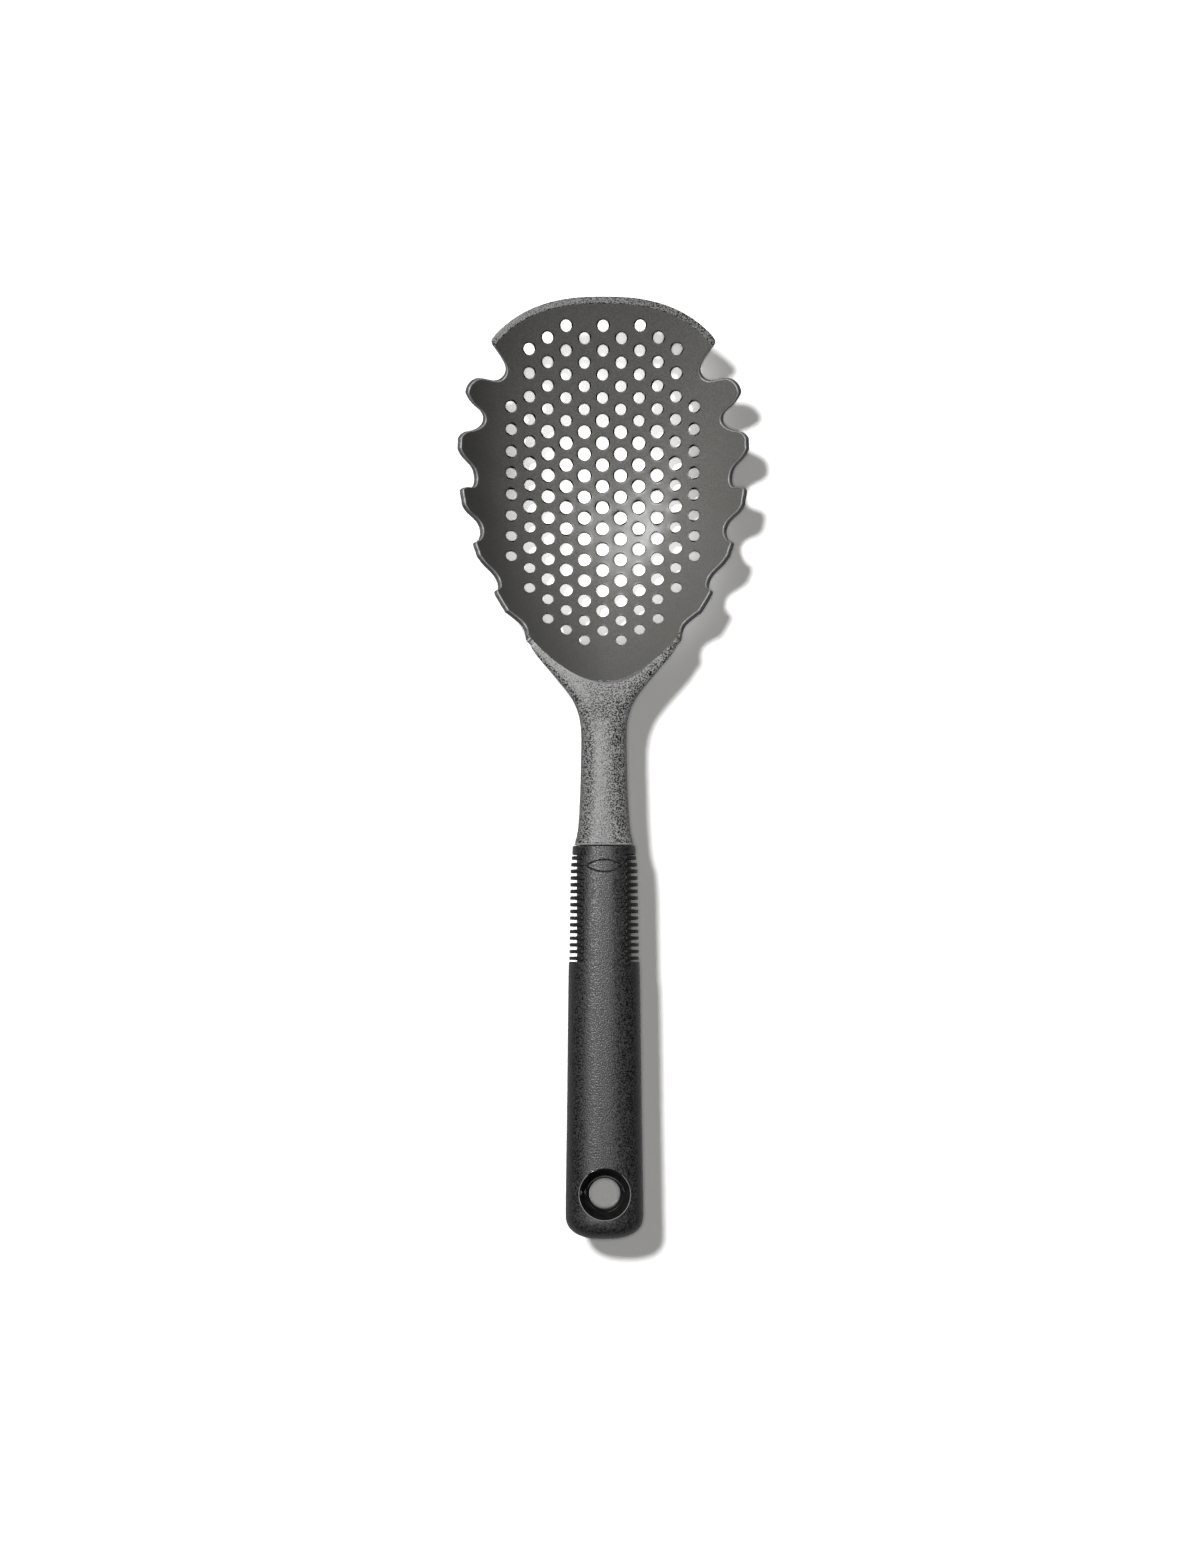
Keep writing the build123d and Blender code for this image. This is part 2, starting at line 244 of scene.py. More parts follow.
# the outer rim from the lip round the right side, cut by each notch, mirrored and softened at its corners
def toothedOutline():
    angles = np.linspace(pi / 2, -pi / 2, 900)
    rim = outerRim(angles)
    half, reached = [], pi / 2
    for shares in teeth["notches"]:
        cut = curveThrough(np.array(shares) * (bowl["halfWidth"], bowl["frontReach"]), 0.2)
        cut = cut[np.flatnonzero(aboveRim(cut[:, 0], cut[:, 1]) < 0)]
        turn = np.arctan2(cut[[0, -1], 1] + bowl["deepestBack"], cut[[0, -1], 0])
        half += [rim[(angles <= reached) & (angles > turn[0])], cut]
        reached = turn[1]
    half.append(rim[angles < reached])
    half = np.vstack(half)
    whole = np.vstack([half, (half * (-1, 1))[-2:0:-1]])[::-1]
    whole = np.roll(whole, 1, axis=0)
    fine = evenly(whole, 0.2)
    spread = np.arange(-8, 9) * 0.2
    weights = np.exp(-(spread / bowl["cornerSoftness"]) ** 2 / 2)
    soft = sum(w * np.roll(fine, k, axis=0) for w, k in zip(weights / weights.sum(), range(-8, 9)))
    # fuller teeth: the cut parts move outwards, the rim itself stays
    ahead = unit(np.roll(soft, -1, axis=0) - np.roll(soft, 1, axis=0))
    outwards = np.column_stack([ahead[:, 1], -ahead[:, 0]])
    below = ease(0, teeth["fullerBelow"], -aboveRim(soft[:, 0], soft[:, 1]))
    soft = soft + outwards * (teeth["fuller"] * below * ease(-72, -66, soft[:, 1]))[:, None]
    # the notches are drawn at the inner edge's height; the outer edge lies lower on the same line of sight
    upper = np.minimum(bowlInside(soft[:, 0], soft[:, 1]), rimLine(soft[:, 1]))
    moved = soft
    for _ in range(3):
        lower = np.minimum(bowlOutside(moved[:, 0], moved[:, 1]), rimLine(moved[:, 1]))
        moved = soft + (upper - lower)[:, None] * (soft - teeth["drawnFrom"]) / teeth["drawnHeight"]
    return evenly(moved, bowl["outlineStep"])


drain = {   # the field of holes: for each column its first and last step, and the steps with a large hole
    "pitch": 7.0, "shift": 3.92, "sag": 0.00018, "stretch": 1.0037, "middleStep": 14,
    "small": 2.1, "large": 2.47,
    "steps": {0: (0, 28), 1: (1, 29), 2: (0, 28), 3: (1, 27), 4: (2, 24), 5: (7, 21)},
    "largeSteps": {0: range(8, 27, 2), 1: range(9, 26, 2), 2: range(10, 25, 2), 3: range(9, 24, 2),
                   4: range(12, 21, 4), 5: range(0)},
}


# centres and radii of the hexagonal field: columns along y, each half a pitch off the next
def drainHoles():
    pitch, field = drain["pitch"], []
    for column, (first, last) in drain["steps"].items():
        for step in range(first, last + 1, 2):
            row = (drain["middleStep"] - step) * pitch / sqrt(3) * drain["stretch"]
            y = row - drain["shift"] - drain["sag"] * (column * pitch) ** 2
            radius = drain["large"] if step in drain["largeSteps"][column] else drain["small"]
            sides = (1, -1) if column else (1,)
            field += [(side * column * pitch, y, radius) for side in sides]
    return np.array(field)


# rows of points from one skin to the other over an edge face: a rounded corner at a, a flat, one at b
def roundedEdge(a, b, inA, inB, radius, pieces):
    w = unit(b - a)
    t = np.linspace(0, 1, pieces + 1)[1:, None, None]
    first = (1 - t) ** 2 * (a - radius * inA) + 2 * t * (1 - t) * a + t ** 2 * (a + radius * w)
    t = t - 1 / pieces
    second = (1 - t) ** 2 * (b - radius * w) + 2 * t * (1 - t) * b + t ** 2 * (b - radius * inB)
    return np.concatenate([first, second])


# evens out the spots where a loop drawn inside its guide folds back on itself at a sharp tip
def unfold(loop, guide):
    loop = np.array(loop)
    ahead = np.roll(guide, -1, axis=0) - np.roll(guide, 1, axis=0)
    for _ in range(60):
        own = np.roll(loop, -1, axis=0) - np.roll(loop, 1, axis=0)
        bad = np.sum(own[:, :2] * ahead, axis=1) < 0.35 * np.sum(ahead ** 2, axis=1)
        if not bad.any():
            break
        bad |= np.roll(bad, 1) | np.roll(bad, -1)
        loop[bad] = (0.5 * loop + 0.25 * (np.roll(loop, 1, axis=0) + np.roll(loop, -1, axis=0)))[bad]
    return loop


# two skins over one flat triangulation, closed round the outline and round every hole by rounded edges
def bowlShell():
    outline = toothedOutline()
    qx, qy = outline[:, 0], outline[:, 1]
    middle = outline - unit(bowlSlope(qx, qy)) * bowl["leanInset"]
    lean = bowlSlope(middle[:, 0], middle[:, 1])
    steep = np.linalg.norm(lean, axis=1, keepdims=True)
    onRim = ease(-1.4, -0.4, aboveRim(qx, qy))[:, None]
    byNeck = ease(teeth["neckFrom"], teeth["neckTo"], -qy)[:, None]
    lip = onRim * np.maximum(ease(teeth["lipFrom"], teeth["lipTo"], qy)[:, None], byNeck)
    square = bowl["wall"] * steep / np.sqrt(1 + steep ** 2)      # an edge face square to the skin
    level = bowl["wall"] * np.sqrt(1 + steep ** 2) / steep       # the lip's level edge face
    inner = unfold(outline - unit(lean) * (square * (1 - lip) + level * lip), outline)
    a = np.column_stack([inner, bowlInside(inner[:, 0], inner[:, 1])])
    b = np.column_stack([outline, np.minimum(bowlOutside(qx, qy), rimLine(qy))])
    radius = bowl["edgeRound"] - (bowl["edgeRound"] - bowl["neckEdgeRound"]) * byNeck
    radius = radius - (bowl["edgeRound"] - bowl["lipRound"]) * lip * (1 - byNeck)

    # square to the loop and lying in the skin
    def outward(loop, flat):
        along = np.roll(loop, -1, axis=0) - np.roll(loop, 1, axis=0)
        slope = bowlSlope(flat[:, 0], flat[:, 1])
        up = unit(np.column_stack([-slope, np.ones(len(slope))]))
        return unit(np.cross(along, up))

    outA, outB = outward(a, inner), outward(b, inner)
    flatLoops = [unfold((a - radius * outA)[:, :2], outline)]
    lowLoops = [unfold((b - radius * outB)[:, :2], outline)]
    edges = [(a, b, outA, outB, radius, 4)]
    # slots of the rim's edge faces: painted shade on the cut edges, and a darker painted shade copy of the
    # nylon on the lip
    shadedEdgeSlot = np.where((onRim * ease(teeth["lipFrom"], teeth["lipTo"], qy)[:, None])[:, 0] > 0.5, 3, 2)
    # the inner corner's rows take a lighter nylon: a painted highlight line along the rim
    cornerHighlightSlot = np.where((shadedEdgeSlot == 2) & (byNeck[:, 0] < 0.2), 4, shadedEdgeSlot)   # the inner corner's pale line
    holes = drainHoles()
    turns = np.linspace(0, 2 * pi, bowl["holeSides"], endpoint=False)
    ring = np.column_stack([np.cos(turns), np.sin(turns)])
    for x, y, r in holes:
        spot = (x, y) + ring * r
        slope = bowlSlope(spot[:, 0], spot[:, 1])
        inwards = unit(np.column_stack([-ring, -np.sum(slope * ring, axis=1)]))
        top = np.column_stack([spot, bowlInside(spot[:, 0], spot[:, 1])])
        low = np.column_stack([spot, bowlOutside(spot[:, 0], spot[:, 1])])
        flatLoops.append((top - bowl["holeRound"] * inwards)[:, :2])
        lowLoops.append(flatLoops[-1])
        edges.append((top, low, inwards, inwards, np.full((len(ring), 1), bowl["holeRound"]), 3))
    # points between the loops: a triangular grid kept clear of every edge
    size = bowl["meshSize"]
    gx, gy = np.meshgrid(np.arange(-bowl["gridHalf"], bowl["gridHalf"] + 0.01, size),
                         np.arange(-bowl["gridRear"], bowl["gridFront"], size * sqrt(3) / 2))
    gx = gx + (np.arange(gx.shape[0])[:, None] % 2) * size / 2
    free = np.column_stack([gx.ravel(), gy.ravel()])
    rim = flatLoops[0]
    gap = np.min(np.hypot(free[:, None, 0] - rim[None, :, 0], free[:, None, 1] - rim[None, :, 1]), axis=1)
    toHole = np.min(np.hypot(free[:, None, 0] - holes[None, :, 0], free[:, None, 1] - holes[None, :, 1])
                    - holes[None, :, 2], axis=1)
    free = free[insideLoop(free, rim) & (gap > 0.55 * size) & (toHole > bowl["holeRound"] + 0.45)]
    flat = np.vstack(flatLoops + [free])
    counts = [len(loop) for loop in flatLoops]
    starts = np.concatenate([[0], np.cumsum(counts)])
    rails = [(s + i, s + (i + 1) % n) for s, n in zip(starts, counts) for i in range(n)]
    made = delaunay_2d_cdt([Vector(p) for p in flat.tolist()], rails, [], 0, 1e-6, False)
    triangles = np.array([list(f) for f in made[2]])
    assert len(made[0]) == len(flat)
    centre = flat[triangles].mean(axis=1)
    away = np.min(np.hypot(centre[:, None, 0] - holes[None, :, 0], centre[:, None, 1] - holes[None, :, 1])
                  - holes[None, :, 2], axis=1)
    triangles = triangles[insideLoop(centre, rim) & (away > 0.02)]
    # heights of both skins; the outer one is slid outwards near the outline, square to the slope
    top = np.column_stack([flat, bowlInside(flat[:, 0], flat[:, 1])])
    gap = np.min(np.hypot(flat[:, None, 0] - rim[None, :, 0], flat[:, None, 1] - rim[None, :, 1]), axis=1)
    slope = bowlSlope(flat[:, 0], flat[:, 1])
    slide = bowl["wall"] * slope / np.sqrt(1 + np.sum(slope ** 2, axis=1, keepdims=True))
    lowFlat = flat + slide * (1 - ease(0, bowl["slideReach"], gap))[:, None]
    lowFlat[:starts[-1]] = np.vstack(lowLoops)
    low = np.column_stack([lowFlat, bowlOutside(lowFlat[:, 0], lowFlat[:, 1])])
    low[:counts[0], 2] = np.minimum(low[:counts[0], 2], (b - radius * outB)[:, 2] + 0.05)
    points, faces = [top, low], triangles.tolist() + (triangles[:, ::-1] + len(top)).tolist()
    slots = [1] * len(triangles) + [0] * len(triangles)
    base = 2 * len(top)
    for which, (pa, pb, ea, eb, r, pieces) in enumerate(edges):
        rows = roundedEdge(pa, pb, ea, eb, r, pieces)
        n, here = len(pa), starts[which] + np.arange(len(pa))
        inside = base + np.arange((len(rows) - 1) * n).reshape(-1, n)
        index = np.vstack([here, inside, here + len(top)])
        points.append(rows[:-1].reshape(-1, 3))
        base += inside.size
        ahead = np.roll(index, -1, 1)
        quads = np.stack([index[:-1], ahead[:-1], ahead[1:], index[1:]], axis=-1)
        faces += quads.reshape(-1, 4).tolist()
        if which == 0:
            strips = [shadedEdgeSlot, np.tile(cornerHighlightSlot, 3), np.tile(shadedEdgeSlot, len(quads) - 4)]
            slots += np.concatenate(strips).tolist()
        else:
            slots += [1] * (n * len(quads))
    return np.vstack(points), faces, slots


# true where a ray from the point crosses the loop an odd number of times
def insideLoop(points, loop):
    inside = np.zeros(len(points), dtype=bool)
    for (x0, y0), (x1, y1) in zip(loop, np.roll(loop, -1, axis=0)):
        if y0 != y1:
            crosses = (points[:, 1] > min(y0, y1)) & (points[:, 1] <= max(y0, y1))
            inside ^= crosses & (points[:, 0] < x0 + (points[:, 1] - y0) * (x1 - x0) / (y1 - y0))
    return inside


# the neck, from the bowl's rim to the grip
neck = {   # knots are (distance behind the datum, value)
    "halfWidth": [(56, 31.2), (61, 29.8), (64, 29.0), (66.5, 28.4), (70.7, 26.3), (74.1, 23.7), (77.9, 20.4),
                  (81.6, 17.25), (85.4, 14.2), (89.1, 11.7), (92.9, 10.05), (96.6, 9.05), (100.4, 8.62),
                  (104.1, 8.5), (111.6, 8.62), (119.2, 8.77), (126.7, 9.05), (134.2, 9.45), (138, 9.82),
                  (140.3, 10.25),
                  (142.0, 10.75), (143.6, 11.0), (144.1, 11.05)],
    "top": [(56, 38.2), (64, 38.95), (70.7, 39.7), (78.6, 40.4), (82.7, 40.75), (89.4, 42.0), (96.8, 43.9),
            (104.8, 44.9), (119.3, 45.6), (134, 45.95), (142.6, 46.05), (143.6, 46.6)],
    "thickness": [(56, 2.2), (64, 2.6), (70.7, 4.0), (78.6, 6.0), (84.6, 7.9), (89.4, 9.4), (96.8, 11.0),
                  (104.8, 11.9), (119.3, 12.5), (134, 13.4), (141.5, 14.6), (143.6, 15.4)],
    "squareness": [(56, 7.0), (72, 6.0), (80, 4.2), (90, 2.7), (100, 2.4), (125, 2.4), (138, 2.75),
                   (143.6, 2.9)],
    "searchFrom": 56.0, "searchTo": 92.0, "startsIn": 7, "sink": 0.4, "meeting": 3.0,
    "runOn": -0.1, "paintedHighlightEnd": 0.36,
    "tangHalfWidth": 5.5, "tangThickness": 6.5, "tangLength": 48.0, "tangHeight": 38.0, "tangPower": 0.3,
    "tangSides": 32,
}


# a superellipse carried back from the bowl: its top starts on the bowl's rim, its underside in the wall
def neckShape():
    columns = np.linspace(0, pi, 65)
    c, s = np.cos(columns), np.maximum(np.sin(columns), 0)

    # half width, top, thickness and the share of the height reached in each column
    def section(back):
        power = 2 / through(neck["squareness"], back)
        thick = through(neck["thickness"], back)
        across = through(neck["halfWidth"], back) * np.sign(c) * np.abs(c) ** power
        return across, through(neck["top"], back), thick, s ** power

    # the upper half of the section
    def topOf(back):
        across, top, thick, lift = section(back)
        return across, top - thick / 2 * (1 - lift)

    low, high = np.full(len(columns), neck["searchFrom"]), np.full(len(columns), neck["searchTo"])
    for _ in range(30):
        middle = (low + high) / 2
        x, z = topOf(middle)
        short = bowlInside(x, -middle) < z
        low, high = np.where(short, middle, low), np.where(short, high, middle)
    end = joint + neck["runOn"]
    way = np.concatenate([np.linspace(0, 0.95, 96)[:-1], np.linspace(0.95, 1, 22)])[:, None]
    back = high + (end - high) * way
    x, z = topOf(back)
    top = np.stack([x, -back, z], axis=-1)
    start = high - neck["startsIn"] * np.sqrt(s)
    back = start + (end - start) * way
    x, z, thick, lift = section(back)
    z = z - thick / 2 * (1 + lift)
    skin = bowlOutside(x.ravel(), -back.ravel()).reshape(x.shape)
    sink = neck["sink"] * np.clip((z - skin) / 3 - 1, 0, 1)
    under = np.where(lift > 1e-6, softMin(z, skin + sink, neck["meeting"] * lift + 1e-6), z)
    bottom = np.stack([x, -back, under], axis=-1)
    rows = np.concatenate([top[::-1], bottom])
    rows = np.concatenate([rows, rows[:1]])
    faces = gridFaces(len(rows), len(columns))
    # faces within the last stretch of the neck take the lighter nylon: a painted highlight line at the neck's
    # end
    slots = np.array([rows.reshape(-1, 3)[f, 1].mean() < -end + neck["paintedHighlightEnd"] for f in faces]).astype(int)
    return rows.reshape(-1, 3), faces, slots


# a rounded flat bar inside the grip, square-ended
def tangShape():
    sides, height, power = neck["tangSides"], neck["tangHeight"], neck["tangPower"]
    turns = np.linspace(0, 2 * pi, sides, endpoint=False)
    c, s = np.cos(turns), np.sin(turns)
    x = neck["tangHalfWidth"] * np.sign(c) * np.abs(c) ** power
    z = height + neck["tangThickness"] / 2 * np.sign(s) * np.abs(s) ** power
    backs = joint + np.array([-1.5, 0, 16, 32, neck["tangLength"] - 0.5, neck["tangLength"]])
    sizes = np.array([1, 1, 1, 1, 1, 0.9])
    rows = [np.column_stack([x * k, np.full(sides, -b), height + (z - height) * k])
            for b, k in zip(backs, sizes)]
    front, rear = (row * (0.01, 1, 0) + (0, 0, height) for row in (rows[0], rows[-1]))
    rows = [front] + rows + [rear]
    return np.vstack(rows), gridFaces(len(rows), sides, wrapColumns=True)


# the soft grip with its fins, and the ring in its end
grip = {
    "length": 146.8, "top": 47.90, "bottom": 28.0, "squareness": 2.55,
    "half": [(0, 11.75), (3.6, 11.95), (4.8, 12.25), (10, 12.65), (25, 12.9), (42, 13.15), (48, 13.35),
             (97, 13.95), (120, 14.3), (138, 14.52), (146.8, 14.55)],
    "cornerLength": 9.3, "endRound": 7.0, "endPower": 2.5, "skin": 3.9, "frontWall": 2.4,
    "stripHalf": 8.0, "collar": 3.6, "frontEdge": 0.5, "setBack": 0.25,
    "finCount": 16, "finPitch": 2.5, "finThickness": 1.25, "finTipRound": 0.15,
    "finStart": 4.8, "finLap": 0.12, "finFoot": 1.15, "finRoot": 0.5, "finColumns": 30,
    "floorHalf": 10.2, "floorDrop": 1.1,
    "ovalBack": 7.9, "ovalLength": 13.6, "ovalWidth": 4.5, "grooveWidth": 0.17, "grooveDepth": 0.28,
}
ringParts = {
    "inset": 17.0, "outer": 9.5, "bead": 9.74, "highlightBelow": 0.75, "hole": 5.8,
    "step": 7.05, "stepDepth": 3.2, "landDepth": 6.0, "proud": 0.22,
    "sides": 96, "cutterSides": 128, "cutterReach": 14, "cutterGap": 0.01,
}
midHeight = (grip["top"] + grip["bottom"]) / 2
halfHeight = (grip["top"] - grip["bottom"]) / 2


# half width and half height of the grip's section: a bowed side, closed at the end by a superellipse
def gripHalf(back, inset=0.0):
    half = through(grip["half"], back - joint)
    left = joint + grip["length"] - inset - back
    power = grip["endPower"]

    # 1 until the last stretch, then falling to 0 at the end
    def closing(reach):
        t = np.clip(left / reach, 0, 1)
        return (1 - (1 - t) ** power) ** (1 / power)

    return (half - inset) * closing(grip["cornerLength"]), (halfHeight - inset) * closing(grip["endRound"])


# a superellipse: a cosine and a sine, each raised to the power two over the squareness
def superSection(half, high, turns):
    power = 2 / grip["squareness"]
    c, s = np.cos(turns), np.sin(turns)
    return half * np.sign(c) * np.abs(c) ** power, high * np.sign(s) * np.abs(s) ** power


# angles round the section, with even columns over the flat strip and the strip's edges hit exactly
def sectionTurns(half):
    strip = grip["stripHalf"]
    across = np.linspace(strip, -strip, 61) / np.maximum(half, strip + 0.3)[..., None]
    flat = np.arccos(np.sign(across) * np.abs(across) ** (grip["squareness"] / 2))
    side = np.linspace(0, 1, 13)[1:-1]
    edge = flat[..., :1]
    first, last = edge * side, pi - edge * (1 - side)
    zero = np.zeros_like(edge)
    upper = np.concatenate([zero, first, flat, last], axis=-1)
    return np.concatenate([upper, pi + upper], axis=-1)


# sections carried along the grip, narrowed to the fins' floor behind the collar; the inside is a second layer
def sleeveShape():
    end = joint + grip["length"]
    zoneStart = joint + grip["collar"]
    zoneEnd = joint + grip["finStart"] + (grip["finCount"] - 1) * grip["finPitch"] + 1.3
    ovalAt = joint + grip["ovalBack"]
    edge, front = grip["frontEdge"], joint + grip["setBack"]
    backs = np.concatenate([   # the rows lie closer where the form turns
        front + edge * (1 - np.cos(np.linspace(0, pi / 2, 6))), np.linspace(front + 0.9, zoneStart - 0.45, 7),
        zoneStart + np.array([-0.2, -0.05, 0]), zoneStart + np.array([0.01]),
        np.arange(zoneStart + 0.4, ovalAt - 2.9, 0.5), np.arange(ovalAt - 2.8, ovalAt + 2.81, 0.14),
        np.arange(ovalAt + 3.2, zoneEnd - 0.2, 1.2), zoneEnd + np.array([-0.01, 0, 0.05, 0.2]),
        np.arange(zoneEnd + 0.7, end - 10.5, 1.6), end - 10 * (1 - np.linspace(0, 1, 34)[:-1]) ** 2.2, [end]])
    half, high = gripHalf(backs)
    turns = sectionTurns(half)
    x, z = superSection(half[:, None], high[:, None], turns)
    drop = np.sqrt(np.maximum(edge ** 2 - (front + edge - backs) ** 2, 0))
    inset = np.where(backs < front + edge, edge - drop, 0)
    corner = 0.3 * (np.exp(-((backs - zoneStart) / 0.14) ** 2) + np.exp(-((backs - zoneEnd) / 0.14) ** 2))
    inset = inset[:, None] + corner[:, None] * ease(grip["stripHalf"], grip["stripHalf"] + 0.5, np.abs(x))
    x, z = x * (1 - inset / np.maximum(half, 1)[:, None]), z * (1 - inset / np.maximum(high, 1)[:, None])
    # the fins' floor, only beyond the strip's edges
    zone = ((backs > zoneStart + 0.005) & (backs < zoneEnd - 0.005))[:, None]
    fx, fz = superSection(grip["floorHalf"], halfHeight - grip["floorDrop"], turns)
    beyond = np.abs(x) > grip["stripHalf"] + 0.02
    edgeNext = np.abs(np.abs(x) - grip["stripHalf"]) < 0.02
    fx = np.sign(fx) * np.maximum(np.abs(fx), grip["stripHalf"] - 0.15)
    x, z = np.where(zone & beyond, fx, x), np.where(zone & beyond, fz, z)
    z = np.where(zone & edgeNext, z - 0.12 * np.sign(z), z)
    # the bare oval's groove, pressed into the top
    px, py = x, -(backs[:, None]) + ovalAt
    reach, wide = grip["ovalLength"] / 2, grip["ovalWidth"] / 2
    circle = (reach ** 2 + wide ** 2) / (2 * wide)
    fromEdge = np.hypot(px, np.abs(py) + circle - wide) - circle
    groove = grip["grooveDepth"] * np.exp(-(fromEdge / grip["grooveWidth"]) ** 2) * (z > 0)
    z = z - groove
    outer = np.stack([x, np.broadcast_to(-backs[:, None], x.shape), midHeight + z], axis=-1)
    # the inside, from the end forwards
    inEnd = end - grip["skin"]
    inBacks = np.concatenate([[inEnd], inEnd - 10 * (np.linspace(0, 1, 14)[1:]) ** 2.2,
                              np.linspace(inEnd - 14, joint + grip["frontWall"], 12)])
    half, high = gripHalf(inBacks, grip["skin"])
    turns = sectionTurns(np.maximum(half, 1))
    ix, iz = superSection(half[:, None], high[:, None], turns)
    inner = np.stack([ix, np.broadcast_to(-inBacks[:, None], ix.shape), midHeight + iz], axis=-1)
    last = inner[-1]
    tang = last * (0, 1, 0) + np.column_stack([
        np.clip(last[:, 0], -neck["tangHalfWidth"], neck["tangHalfWidth"]), np.zeros(len(last)),
        midHeight + np.clip(last[:, 2] - midHeight, -neck["tangThickness"] / 2, neck["tangThickness"] / 2)])
    mouth = tang * (1, 0, 1) - (0, front, 0)
    rows = np.concatenate([outer, inner, tang[None], mouth[None], outer[:1]])
    return rows.reshape(-1, 3), gridFaces(len(rows), outer.shape[1], wrapColumns=True)


# thin plates round one side of the grip: each is the section's curve carried over a rounded edge
def finShape(side):
    columns = grip["finColumns"]
    turns = np.linspace(0, 1, columns)
    points, faces = [], []
    half = grip["finThickness"] / 2
    for i in range(grip["finCount"]):
        back = joint + grip["finStart"] + i * grip["finPitch"]
        wide, high = gripHalf(np.array([back]))
        edge = np.arccos(((grip["stripHalf"] + 0.05) / wide[0]) ** (grip["squareness"] / 2))
        corner = np.linspace(-pi / 2, pi / 2, 9)
        angle = edge * (1 - 2 * turns)
        ox, oz = superSection(wide[0] - grip["finLap"], high[0] - grip["finLap"], angle)
        fx, fz = superSection(grip["floorHalf"] - grip["finRoot"],
                              halfHeight - grip["floorDrop"] - grip["finRoot"], angle)
        fx = np.maximum(fx, grip["stripHalf"] - 0.25)
        out = unit(np.column_stack([ox, oz]) - np.column_stack([fx, fz]))
        thin = grip["finTipRound"]
        rows = [np.column_stack([fx, np.full(columns, -back + half * grip["finFoot"]), fz])]
        for r in corner:
            push = thin * (np.cos(r) - 1)
            rows.append(np.column_stack([ox + out[:, 0] * push, np.full(columns, -back - half * np.sin(r)),
                                         oz + out[:, 1] * push]))
        rows.append(np.column_stack([fx, np.full(columns, -back - half * grip["finFoot"]), fz]))
        rows = np.array(rows)
        start = len(np.vstack(points)) if points else 0
        rows[..., 0] *= side
        rows[..., 2] += midHeight
        points.append(rows.reshape(-1, 3))
        faces += gridFaces(len(rows), columns, start=start)
        cap = [start + k * columns for k in range(len(rows))]
        faces += [cap, [k + columns - 1 for k in cap][::-1]]
        foot = cap[-1]
        faces += [[start + k, start + k + 1, foot + k + 1, foot + k] for k in range(columns - 1)]
    return np.vstack(points), faces


# a profile turned about the hole's axis, with its mouth sunk to follow the grip's curved top
def linerShape():
    r, top = ringParts, halfHeight
    profile = [(r["outer"], 0.0), (r["outer"], top - 1.2), (r["bead"], top - 0.5),
               (r["bead"] + 0.02, top + 0.03), (r["bead"] - 0.06, top + 0.08),
               (r["outer"] - 0.05, top + 0.07), (r["outer"] - 0.16, top - 0.1),
               (r["outer"] - 0.7, top - 0.62), (r["outer"] - 1.2, top - 1.35), (r["outer"] - 1.7, top - 2.1),
               (r["step"] + 0.3, top - r["stepDepth"] + 0.35), (r["step"], top - r["stepDepth"]),
               (r["step"] - 0.12, top - r["stepDepth"] - 0.12), (r["step"] - 0.3, top - r["stepDepth"] - 0.7),
               (r["hole"] + 0.5, top - r["landDepth"] + 0.9), (r["hole"] + 0.12, top - r["landDepth"] + 0.25),
               (r["hole"], top - r["landDepth"]), (r["hole"], top - r["landDepth"] - 2)]
    profile = np.array(profile + [(a, -b) for a, b in profile[::-1]])
    turns = np.linspace(0, 2 * pi, r["sides"], endpoint=False)
    centre = joint + grip["length"] - r["inset"]
    radius, height = profile[:, :1], profile[:, 1:]
    x, y = radius * np.cos(turns), radius * np.sin(turns)
    half, _ = gripHalf(np.full(r["sides"], centre))
    edgeX = np.abs(r["outer"] * np.cos(turns)) / half
    sag = halfHeight * (1 - (1 - edgeX ** grip["squareness"]) ** (1 / grip["squareness"]))
    sink = np.maximum(sag - r["proud"], 0) * ease(2.5, 9.0, np.abs(height))
    z = midHeight + height - np.sign(height) * sink
    rows = np.stack([x, y - centre, np.broadcast_to(z, x.shape)], axis=-1)
    rows = np.concatenate([rows, rows[:1]])
    faces = gridFaces(len(rows), r["sides"], wrapColumns=True)
    middles = np.array([rows.reshape(-1, 3)[f].mean(axis=0) for f in faces]) + (0, centre, 0)
    # the bead's faces, all but its front arc, take a lighter black: a painted highlight round the bead
    onBead = np.hypot(middles[:, 0], middles[:, 1]) > r["outer"] - 0.03
    highlightFaces = onBead & (middles[:, 1] < r["highlightBelow"] * r["outer"])
    return rows.reshape(-1, 3), faces, highlightFaces.astype(int)


# finishes

# a new node with its settings: a property where the node has one of that name, else an input
def node(tree, kind, **settings):
    made = tree.nodes.new(kind)
    for name, value in settings.items():
        if hasattr(made, name):
            setattr(made, name, value)
        else:
            made.inputs[name.replace("_", " ")].default_value = value
    return made


# a plain material with its shader and the piece's own coordinates
def newMaterial(name):
    material = bpy.data.materials.new(name)
    material.use_nodes = True
    tree = material.node_tree
    shader = tree.nodes["Principled BSDF"]
    place = tree.nodes.new("ShaderNodeTexCoord").outputs["Object"]
    return material, tree, shader, place


# colours or grey levels set along a value
def ramp(tree, source, stops):
    made = tree.nodes.new("ShaderNodeValToRGB")
    tree.links.new(source, made.inputs[0])
    elements = made.color_ramp.elements
    while len(elements) < len(stops):
        elements.new(0.5)
    for element, (at, colour) in zip(elements, stops):
        element.position = at
        element.color = (*colour, 1) if isinstance(colour, tuple) else (colour, colour, colour, 1)
    return made.outputs[0]


